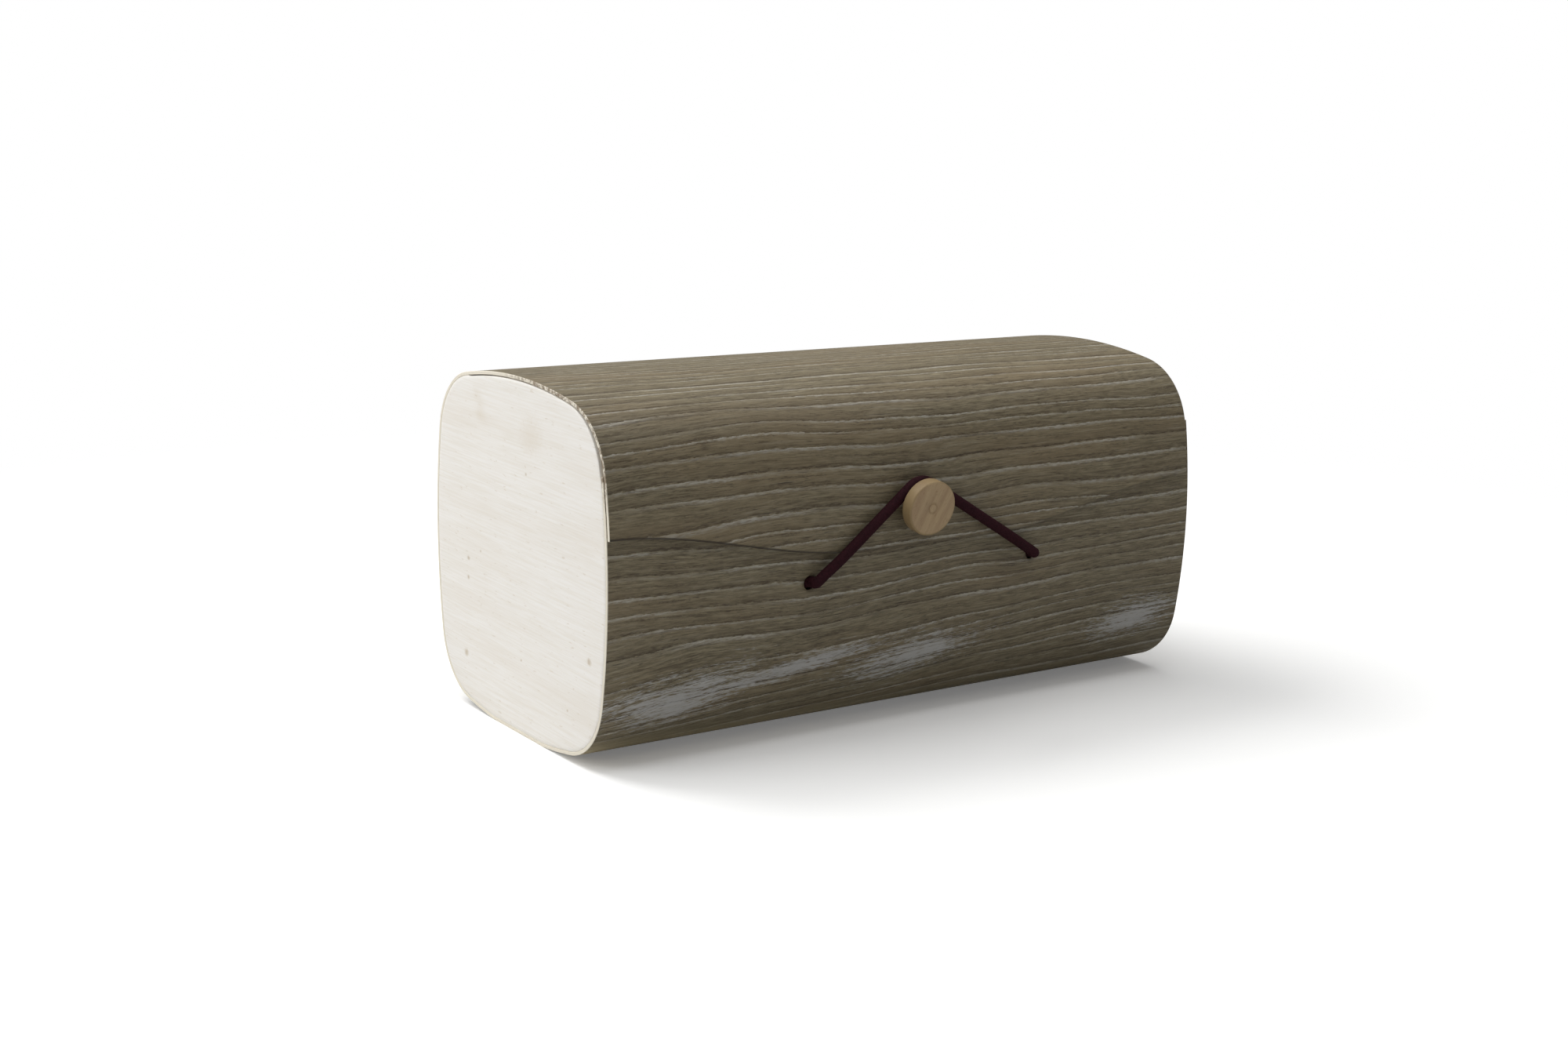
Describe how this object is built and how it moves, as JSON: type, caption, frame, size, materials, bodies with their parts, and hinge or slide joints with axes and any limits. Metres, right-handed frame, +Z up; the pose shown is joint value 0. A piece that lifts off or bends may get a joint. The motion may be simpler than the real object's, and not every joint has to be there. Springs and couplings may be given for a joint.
{
  "type": "bent-veneer box",
  "caption": "Rounded oblong veneer box with plywood ends, a bending top and a wavy front flap held by an elastic loop over a wooden button.",
  "frame": {"origin": "middle of the flat underneath, on the surface the box stands on", "axes": "+X along the box to the right end, -Y out of the front where the button is, +Z up"},
  "size_m": [0.204, 0.1107, 0.1],
  "materials": {
    "plywood": "bare pale plywood, sanded",
    "veneer": "grey-brown stained veneer with limed grain, matt",
    "button_wood": "bare turned beech",
    "dowel_wood": "bare beech, end grain",
    "elastic": "dark red braided elastic"
  },
  "bodies": {
    "box": {"left_end_panel": "plywood", "right_end_panel": "plywood", "wrap_sheet": "veneer", "left_knot": "elastic", "right_knot": "elastic"},
    "rear_strip": {"bend_strip_rear": "veneer"},
    "front_strip": {"bend_strip_front": "veneer"},
    "flap": {"lid_flap": "veneer", "button_neck": "button_wood", "button_disc": "button_wood", "button_dowel": "dowel_wood"},
    "loop": {"elastic_loop": "elastic"}
  },
  "joints": [
    {"name": "flap_bend", "type": "hinge", "parent": "front_strip", "child": "flap", "pos_m": [0, 0, 0.10002], "axis": [-1, 0, 0], "range_deg": [0, 35], "stiffness_Nm_per_rad": 0.03, "deforming": ["elastic_loop"]},
    {"name": "front_strip_bend", "type": "hinge", "parent": "rear_strip", "child": "front_strip", "pos_m": [0, 0.014, 0.09947], "axis": [-1, 0, 0], "range_deg": [0, 35]},
    {"name": "rear_strip_bend", "type": "hinge", "parent": "box", "child": "rear_strip", "pos_m": [0, 0.028, 0.0978], "axis": [-1, 0, 0], "range_deg": [0, 35]},
    {"name": "loop_swing", "type": "hinge", "parent": "box", "child": "loop", "pos_m": [0, -0.0537, 0.0458], "axis": [1, 0, 0], "range_deg": [0, 180], "deforming": ["elastic_loop"]}
  ],
  "couplings": [
    {"joint": "front_strip_bend", "follows": "flap_bend", "ratio": 1},
    {"joint": "rear_strip_bend", "follows": "flap_bend", "ratio": 1}
  ]
}
